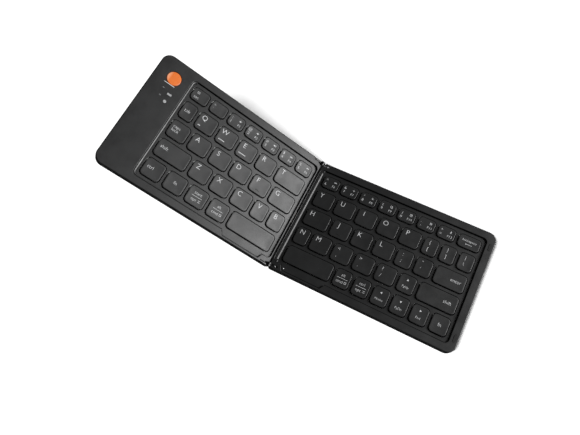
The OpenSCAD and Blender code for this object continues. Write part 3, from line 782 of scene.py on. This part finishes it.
def legends(half, row, i, rect):
    """Outlines printed on one cap."""
    x0, y0, w, d = rect
    out = []
    letters = {("L", 3): "QWERT", ("L", 2): "ASDFG", ("L", 1): "ZXCVB", ("R", 3): "YUIOP", ("R", 2): "HJKL", ("R", 1): "NM"}

    def word(s, x, y, h, align="C"):
        put_text(out, s, x0 + x, y0 + y, h, align)

    def pair(a, b, x):
        word(a, x, 10.8, 2.6)
        word(b, x, 5.4, 2.6)

    def stacked(a, b, mark):
        word(a, w / 2, 10.3, 2.1)
        bar(out, x0 + w / 2, y0 + 7.7, 8.2, 0.22)
        word(b, w / 2 - 1.2, 5.1, 2.1)
        if mark == "square":
            frame_shape(out, x0 + w / 2 + 3.3, y0 + 5.2, 1.6, 1.6, 0.25)
        else:
            bar(out, x0 + w / 2 + 3.1, y0 + 5.9, 1.8, 0.25)
            bar(out, x0 + w / 2 + 3.1, y0 + 4.6, 1.8, 0.25)

    if row == 4:
        if half == "L":
            if i == 0:
                word("esc", 4.9, 3.6, 2.1)
                frame_shape(out, x0 + 5.0, y0 + 7.6, 1.8, 1.4, 0.2)
                return out
            symbols, digits = "~!@#$%", "`12345"
            word(symbols[i - 1], 3.1, 7.6, 2.1)
            word(digits[i - 1], 3.1, 3.9, 2.1)
            if i >= 2:
                icon(out, ICONS_L[i - 2], x0 + 10.1, y0 + 7.6)
                word(f"F{i - 1}", 10.1, 3.9, 1.9)
            return out
        if i < 7:
            word("^&*()_+"[i], 3.1, 7.6, 2.1)
            word("67890-="[i], 3.1, 3.9, 2.1)
            icon(out, ICONS_R[i], x0 + 10.1, y0 + 7.6)
            word(f"F{i + 6}", 10.1, 3.9, 1.8)
            return out
        word("backspace", w / 2, 6.9, 1.75)
        bar(out, x0 + w / 2 + 0.4, y0 + 3.9, 4.2, 0.22)
        tri(out, x0 + w / 2 - 2.0, y0 + 3.9, 0.55, 180)
        return out
    if half == "L" and row == 3:
        i -= 1
        if i < 0:
            word("tab", 3.0, 7.7, 2.4, "L")
            return out
    elif half == "L" and row == 2:
        i -= 1
        if i < 0:
            word("caps", 3.0, 9.6, 2.2, "L")
            word("lock", 3.0, 6.6, 2.2, "L")
            return out
    elif half == "L" and row == 1:
        i -= 1
        if i < 0:
            word("shift", 3.2, 8.6, 2.4, "L")
            return out
    elif half == "L" and row == 0:
        if i == 0:
            word("ctrl", 3.2, 8.2, 2.4, "L")
        elif i == 1:
            word("fn", w / 2, 7.9, 2.4)
        elif i == 2:
            stacked("start", "opt", "bars")
        elif i == 3:
            stacked("alt", "cmd", "square")
        return out
    if half == "R" and row == 0:
        if i == 1:
            stacked("alt", "cmd", "square")
        elif i == 2:
            stacked("ctrl", "opt", "bars")
        elif i in (3, 4, 5):
            tri(out, x0 + w / 2, y0 + 10.6, 0.95, {3: 180, 4: 270, 5: 0}[i])
            word({3: "Home", 4: "PgDn", 5: "End"}[i], w / 2, 5.3, 1.6)
        elif i == 6:
            word("fn", w / 2, 7.4, 2.4)
        return out
    got = letters[(half, row)]
    if i < len(got):
        word(got[i], 5.2, d - 4.2, LEGEND_H)
        if half == "L" and row == 3 and i < 3:
            for s in range((2, 5, 6)[i]):
                bar(out, x0 + 3.4 + 1.05 * s, y0 + 3.7, 0.75, 0.6)
        return out
    i -= len(got)
    if half == "R" and row == 3:
        if i < 3:
            pair("{}|"[i], "[]\\"[i], 5.0)
    elif half == "R" and row == 2:
        if i < 2:
            pair(":\""[i], ";'"[i], 5.0)
        else:
            word("enter", w - 3.6, 7.8, 2.4, "R")
    elif half == "R" and row == 1:
        if i < 3:
            pair("<>?"[i], ",./"[i], 4.6)
        elif i == 3:
            tri(out, x0 + w / 2, y0 + 10.5, 0.95, 90)
            word("PgUp", w / 2, 5.2, 1.6)
        else:
            word("shift", w - 4.6, 7.6, 2.4, "R")
    return out


GROUPS = {}


def key(node_name, half, row, i):
    GROUPS.setdefault(node_name, []).append((half, row, i))


for half, row, letters in (("L", 3, "_qwert"), ("L", 2, "_asdfg"), ("L", 1, "_zxcvb"), ("R", 3, "yuiop"), ("R", 2, "hjkl"), ("R", 1, "nm")):
    for i, c in enumerate(letters):
        if c != "_":
            key(f"key_{c}", half, row, i)
key("left_space_key", "L", 0, 4)
key("right_space_key", "R", 0, 0)
key("enter_key", "R", 2, 6)
key("backspace_key", "R", 4, 7)
key("left_shift_key", "L", 1, 0)
key("right_shift_key", "R", 1, 6)
key("tab_caps_keys", "L", 3, 0)
key("tab_caps_keys", "L", 2, 0)
for i in range(7):
    key("left_number_keys", "L", 4, i)
    key("right_number_keys", "R", 4, i)
for row, i in ((3, 5), (3, 6), (3, 7), (2, 4), (2, 5), (1, 2), (1, 3), (1, 4)):
    key("punctuation_keys", "R", row, i)
for i in range(4):
    key("left_modifier_keys", "L", 0, i)
for i in range(1, 7):
    key("right_bottom_keys", "R", 0, i)
key("right_bottom_keys", "R", 1, 5)


def add_homing_bar(bm, rect, half):
    """The raised bar that fingers find on two of the caps."""
    x0, y0, w, d = rect
    x, y = x0 + w / 2, y0 + 3.4
    M = SCALE @ (LEFT if half == "L" else RIGHT)
    z = cap_height(rect, x, y)
    rows = []
    for grow, up in ((0.0, -0.1), (0.0, 0.06), (0.07, 0.14), (0.17, 0.17)):
        pts = rounded(3.4 - 2 * grow, 0.62 - 2 * grow, 0.3 - grow, 3)
        rows.append([bm.verts.new(M @ Vector((x + a, y + b, z + up))) for a, b in pts])
    for a, b in zip(rows, rows[1:]):
        for i in range(len(a)):
            j = (i + 1) % len(a)
            bm.faces.new((a[i], a[j], b[j], b[i]))
    bm.faces.new(rows[-1])
    bm.faces.new(list(reversed(rows[0])))


for cad, keys in GROUPS.items():
    body = cad
    caps, ink = bmesh.new(), bmesh.new()
    for half, row, i in keys:
        rect = key_rect(half, row, i)
        add_cap(caps, rect, half)
        if cad in ("key_f", "key_j"):
            add_homing_bar(caps, rect, half)
        for verts, faces in legends(half, row, i, rect):
            add_flat(ink, half, verts, faces, lambda x, y, r=rect: cap_height(r, x, y))
    name = cad.replace("_keys", "_caps").replace("_key", "_cap").replace("key_", "cap_")
    ob = finish_mesh(caps, name, [M_CAP], 50.0)
    place(ob, body, [cad])
    if len(ink.faces):
        place(finish_mesh(ink, "legend_" + name.replace("cap_", "").replace("_caps", "").replace("_cap", ""), [M_PRINT], smooth=False), body)
    else:
        ink.free()


# ------------------------------------------------------------------ print on the palm end: a bar and two faint signs
marks = []
bar(marks, -130.9, 76.5, 8.3, 0.42)
faint = []
tri(faint, -133.2, 72.0, 0.62, 180)
bar(faint, -132.2, 72.0, 0.8, 0.24)
frame_shape(faint, -132.2, 65.7, 1.15, 0.85, 0.22)
for outlines, name, m in ((marks, "palm_bar_print", M_PRINT), (faint, "palm_sign_print", M_MARK)):
    ink = bmesh.new()
    for verts, faces in outlines:
        add_flat(ink, "L", verts, faces, lambda x, y: 0.0)
    place(finish_mesh(ink, name, [m], smooth=False), "left_half")

# ------------------------------------------------------------------ turned parts
def lathe(bm, profile, M, steps=64):
    """Turns (radius, height) pairs about +Z of M; the first and last points lie on the axis."""
    rows = []
    for r, z in profile:
        if r < 1e-6:
            rows.append([bm.verts.new(M @ Vector((0, 0, z)))])
        else:
            rows.append([bm.verts.new(M @ Vector((r * math.cos(2 * math.pi * i / steps), r * math.sin(2 * math.pi * i / steps), z))) for i in range(steps)])
    for a, b in zip(rows, rows[1:]):
        for i in range(steps):
            j = (i + 1) % steps
            if len(a) == 1:
                bm.faces.new((a[0], b[i], b[j]))
            elif len(b) == 1:
                bm.faces.new((a[j], a[i], b[0]))
            else:
                bm.faces.new((a[i], b[i], b[j], a[j]))


bm = bmesh.new()
prof = [(0, -3.15), (1.0, -3.15), (1.2, -3.0), (1.2, -2.0), (5.9, -2.0), (6.08, -1.9), (6.08, -1.55), (5.98, -1.45), (5.46, -1.45)]
prof += [(5.46, -0.72)]
for i in range(1, 7):
    a = math.radians(90 * i / 6)
    prof.append((5.46 - 0.62 * (1 - math.cos(a)), -0.72 + 0.62 * math.sin(a)))
for r in (4.4, 3.8, 3.0, 2.0, 1.0):
    prof.append((r, -0.02 - 0.08 * (r / 4.84) ** 2))
prof.append((0, -0.02))
lathe(bm, prof, SCALE @ LEFT @ Matrix.Translation((-130.3, 82.2, 0)), 96)
place(finish_mesh(bm, "power_button_cap", [M_BUTTON], 40.0), "power_button", ["power_button"])


# ------------------------------------------------------------------ small parts carried over from the CAD with rounded edges
def by_size(small):
    return lambda a, b, angle, convex: small if convex else 0.0


for cad, name, mats, w, slot, body in (
    ("right_hinge_leaves", "right_hinge_leaf_pair", [M_LEAF, M_ARM], 0.12, "hinge_metal", "right_half"),
    ("right_feet", "right_foot_pads", [M_RUBBER], 0.18, "foot_rubber", "right_half"),
    ("left_feet", "left_foot_pads", [M_RUBBER], 0.18, "foot_rubber", "left_half"),
    ("rim_bumpers", "rim_bumper_pair", [M_RUBBER], 0.14, "foot_rubber", "right_half"),
    ("charging_socket", "charging_socket_shell", [M_SOCKET], 0.05, "socket_metal", "left_half"),
    ("status_windows", "status_window_pair", [M_WINDOW], 0.08, "lamp_window", "left_half"),
    ("hinge_pins", "hinge_pin_pair", [M_PIN], 0.1, "pin_steel", "right_half"),
):
    ob = from_node(cad, name, mats, by_size(w), width=w, segments=3)
    place(ob, body, [cad])
    if cad == "right_hinge_leaves":
        # the front leaf and the knuckles take the black paint; the back leaf takes the paler bare metal, painted light
        # for where its top catches the lamp
        for f in ob.data.polygons:
            q = local("R", f.center / MM)
            f.material_index = 1 if q.y < DEPTH / 2 or q.x < 2.0 else 0

# the arms are rounded bars
ob = from_node("left_hinge_arms", "left_hinge_arm_pair", [M_ARM], lambda a, b, angle, convex: 0.0 if not convex else 0.5 if (a - b).length > 4 else 0.05,
               segments=5, clamp=False)
place(ob, "left_half", ["left_hinge_arms"])

# screws with low domed heads
bm = bmesh.new()
for sx, sy, head in ((4.6, 2.55, -0.39), (4.6, DEPTH - 2.6, -0.39), (11.1, 3.9, -0.29)):
    section = [(0.4, -2.7), (0.4, head), (0.7, head), (0.7, head + 0.1)]
    section += [(0.7 * math.cos(math.radians(a)), head + 0.1 + 0.24 * math.sin(math.radians(a))) for a in (12, 26, 40, 54, 68, 80)]
    rings = [[bm.verts.new(RIGHT @ Vector((sx + r * math.cos(2 * math.pi * i / 32), sy + r * math.sin(2 * math.pi * i / 32), z)) * MM) for i in range(32)] for r, z in section]
    for lower, upper in zip(rings, rings[1:]):
        for i in range(32):
            bm.faces.new((lower[i], lower[(i + 1) % 32], upper[(i + 1) % 32], upper[i]))
    bm.faces.new(rings[0][::-1])
    bm.faces.new(rings[-1])
ob = finish_mesh(bm, "hinge_screw_set", [M_PIN], 40.0)
place(ob, "right_half", ["hinge_screws"])

for cad, m in (("right_key_plate", M_PLATE), ("left_key_plate", M_PLATE), ("right_membrane", M_FILM), ("left_membrane", M_FILM),
               ("main_board", M_BOARD), ("battery_cell", M_CELL), ("closing_magnets", M_PLATE)):
    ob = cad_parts[cad]
    ob.data.materials.clear()
    ob.data.materials.append(m)

# the ribbon between the halves, with extra cuts across it where it passes round the axis
bm = bmesh.new()
bm.from_mesh(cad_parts["flex_cable"].data)
bmesh.ops.remove_doubles(bm, verts=bm.verts, dist=2e-6)
bend_r = 1.1
bend_from = AXIS @ Matrix.Rotation(FOLD, 4, "Y") @ Vector((0, 0, -bend_r)) * MM
bend_to = AXIS @ Vector((0, 0, -bend_r)) * MM
for k in range(1, 16):
    bmesh.ops.bisect_plane(bm, geom=bm.verts[:] + bm.edges[:] + bm.faces[:], dist=1e-7, plane_co=bend_from.lerp(bend_to, k / 16), plane_no=bend_to - bend_from)
for f in bm.faces:
    f.material_index = 0
ribbon = finish_mesh(bm, "ribbon_cable", [M_RIBBON], 40.0)
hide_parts("flex_cable")
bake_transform(ribbon)

# ------------------------------------------------------------------ stage
bpy.ops.mesh.primitive_plane_add(size=40.0, location=(0, 0, 0))
floor = bpy.context.object
floor.name = "floor"
m, t, s = new_material("floor_white")
t.links.new(value_range(t, noise(t, 3.0, 2.0), 0.80, 0.84), s.inputs["Base Color"])
s.inputs["Roughness"].default_value = 0.9
s.inputs["Specular IOR Level"].default_value = 0.1
floor.data.materials.append(m)
floor.visible_glossy = False


def area(name, where, target, size, power, lit):
    """A soft lamp; lit is the collection that says what it lights."""
    d = bpy.data.lights.new(name, "AREA")
    d.shape = "RECTANGLE"
    d.size, d.size_y = size
    d.energy = power
    o = bpy.data.objects.new(name, d)
    bpy.context.scene.collection.objects.link(o)
    o.location = where
    o.rotation_mode = "QUATERNION"
    o.rotation_quaternion = (Vector(target) - Vector(where)).to_track_quat("-Z", "Y")
    o.visible_camera = False
    o.light_linking.receiver_collection = lit
    return o


# the floor has a lamp of its own, so that it stays pale while the keyboard keeps its soft dark tones
floor_only = bpy.data.collections.new("floor_only")
floor_only.objects.link(floor)
not_floor = bpy.data.collections.new("not_floor")
not_floor.objects.link(floor)
not_floor.collection_objects[0].light_linking.link_state = "EXCLUDE"

scene = bpy.context.scene
world = bpy.data.worlds.new("studio")
scene.world = world
world.use_nodes = True
world.node_tree.nodes["Background"].inputs["Color"].default_value = (1, 1, 1, 1)
world.node_tree.nodes["Background"].inputs["Strength"].default_value = 0.03
scene.view_settings.view_transform = "Standard"
scene.view_settings.look = "None"

centre = Vector((0, 0, 0.03))
for name, towards, power in (("softbox", (0.68, 0.31, 0.67), 2.2), ("strip", (0.85, 0.30, 0.43), 14.0)):
    area(name, centre + Vector(towards).normalized(), centre, (0.45, 0.45), power, not_floor)

# an even, soft light on the floor alone
lamp = bpy.data.lights.new("floor_lamp", "SUN")
lamp.energy, lamp.angle = 5.2, math.radians(23)
lamp_ob = bpy.data.objects.new("floor_lamp", lamp)
bpy.context.scene.collection.objects.link(lamp_ob)
lamp_ob.rotation_mode = "QUATERNION"
lamp_ob.rotation_quaternion = Vector((0.63, 0.80, -2.1)).to_track_quat("-Z", "Y")
lamp_ob.light_linking.receiver_collection = floor_only

# ------------------------------------------------------------------ camera
cam_data = bpy.data.cameras.new("camera")
cam_data.lens, cam_data.sensor_width, cam_data.sensor_fit = 30.924, 36.0, "HORIZONTAL"
cam_data.clip_start, cam_data.clip_end = 0.01, 50
cam = bpy.data.objects.new("camera", cam_data)
scene.collection.objects.link(cam)
look, up = Vector((-0.2108431, 0.3046170, -0.9288454)), Vector((-0.4037272, 0.8382408, 0.3665470))
side = look.cross(up)
cam.matrix_world = Matrix((
    (side.x, up.x, -look.x, 0.071578),
    (side.y, up.y, -look.y, -0.123983),
    (side.z, up.z, -look.z, 0.367661),
    (0, 0, 0, 1)))
scene.camera = cam
